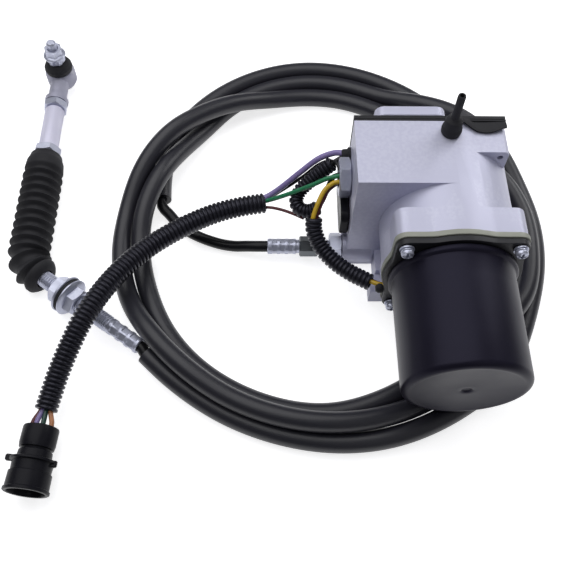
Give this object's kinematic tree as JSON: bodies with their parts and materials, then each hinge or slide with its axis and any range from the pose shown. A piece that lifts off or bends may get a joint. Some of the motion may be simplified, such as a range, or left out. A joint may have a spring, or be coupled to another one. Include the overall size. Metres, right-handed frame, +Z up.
{
  "type": "engine governor actuator",
  "caption": "Electric throttle actuator: cast gear case, round motor, long coiled push-pull cable to a booted rod end, and a loom with a round plug.",
  "frame": {"origin": "underside of the gear case, straight below the motor's axis and level with the middle of the outlet on the left wall", "axes": "-Y along the motor's axis towards its closed end, -X out of the cable's wall, +Z up from the base"},
  "size_m": [0.3159, 0.2951, 0.1081],
  "materials": {
    "cast_aluminium": "fine blasted casting",
    "cream_spacer": "matte",
    "black_enamel": "satin black enamel",
    "zinc_plate": "zinc plate",
    "steel": "machined",
    "ferrite": "sintered",
    "phenolic": "matte",
    "carbon": "matte",
    "brass": "machined",
    "copper": "turned copper",
    "black_rubber": "matte",
    "hose_cover": "satin",
    "black_plastic": "satin"
  },
  "bodies": {
    "housing": {"gear_case": "cast_aluminium", "motor_spacer": "cream_spacer", "motor_end_plate": "black_enamel", "motor_can": "black_enamel", "motor_screw_1": "zinc_plate", "motor_screw_2": "zinc_plate", "motor_screw_3": "zinc_plate", "motor_screw_4": "zinc_plate", "magnet_left": "ferrite", "magnet_right": "ferrite", "brush_ring": "phenolic", "brush_left": "carbon", "brush_right": "carbon", "rear_bush": "brass", "front_bush": "brass", "lead_grommet": "black_rubber", "idler_pin": "steel", "near_lock_nut": "zinc_plate", "near_fitting": "zinc_plate", "far_fitting": "zinc_plate", "bulkhead_washer": "black_rubber", "inner_flange_nut": "zinc_plate", "outer_flange_nut": "zinc_plate", "rear_gasket": "black_rubber", "rear_cover": "black_enamel", "sensor_housing": "cast_aluminium", "position_sensor": "black_plastic", "side_plate": "black_plastic", "gland_nut": "zinc_plate", "vent_nipple": "black_rubber", "cable_hose": "hose_cover", "near_conduit": "black_rubber", "far_conduit": "black_rubber", "main_loom": "black_plastic", "motor_loom": "black_plastic", "sensor_loom": "black_plastic", "plug_body": "black_plastic", "contact_pin_1": "brass", "contact_pin_2": "brass", "contact_pin_3": "brass", "contact_pin_4": "brass"},
    "output": {"output_gear": "steel", "output_shaft": "steel", "fork_lever": "steel"},
    "idler": {"idler_cluster": "brass"},
    "armature": {"armature_stack": "steel", "commutator": "copper", "motor_shaft": "steel", "motor_pinion": "steel"},
    "core": {"crosshead": "steel", "cable_core": "steel"},
    "rod": {"rod_tube": "zinc_plate", "rod_core": "steel", "rod_collar_nut": "zinc_plate", "rod_jam_nut": "zinc_plate", "rod_end": "zinc_plate", "dust_cap": "black_rubber", "bellows_boot": "black_rubber"},
    "stud": {"ball_stud": "zinc_plate", "stud_nut": "zinc_plate"}
  },
  "joints": [
    {"name": "lever_swing", "type": "hinge", "parent": "housing", "child": "output", "pos_m": [-0.022, 0, 0.04], "axis": [0, 1, 0], "range_deg": [-24, 24]},
    {"name": "idler_spin", "type": "hinge", "parent": "housing", "child": "idler", "pos_m": [-0.00403, 0, 0.02409], "axis": [0, 1, 0], "range_deg": [-73, 73]},
    {"name": "motor_spin", "type": "hinge", "parent": "housing", "child": "armature", "pos_m": [0, 0, 0.0445], "axis": [0, 1, 0], "range_deg": [-241, 241]},
    {"name": "core_slide", "type": "slide", "parent": "housing", "child": "core", "axis": [-1, 0, 0], "range_m": [-0.013, 0.013]},
    {"name": "rod_slide", "type": "slide", "parent": "housing", "child": "rod", "axis": [0, 1, 0], "range_m": [-0.013, 0.013], "deforming": ["bellows_boot"]},
    {"name": "stud_swivel", "type": "hinge", "parent": "rod", "child": "stud", "pos_m": [-0.2345, 0.1152, 0.0125], "axis": [0, 0, 1], "continuous": true}
  ],
  "couplings": [
    {"joint": "idler_spin", "follows": "lever_swing", "ratio": -3},
    {"joint": "motor_spin", "follows": "lever_swing", "ratio": 10},
    {"joint": "core_slide", "follows": "lever_swing", "m_per_rad": 0.0309},
    {"joint": "rod_slide", "follows": "lever_swing", "m_per_rad": 0.0309}
  ]
}
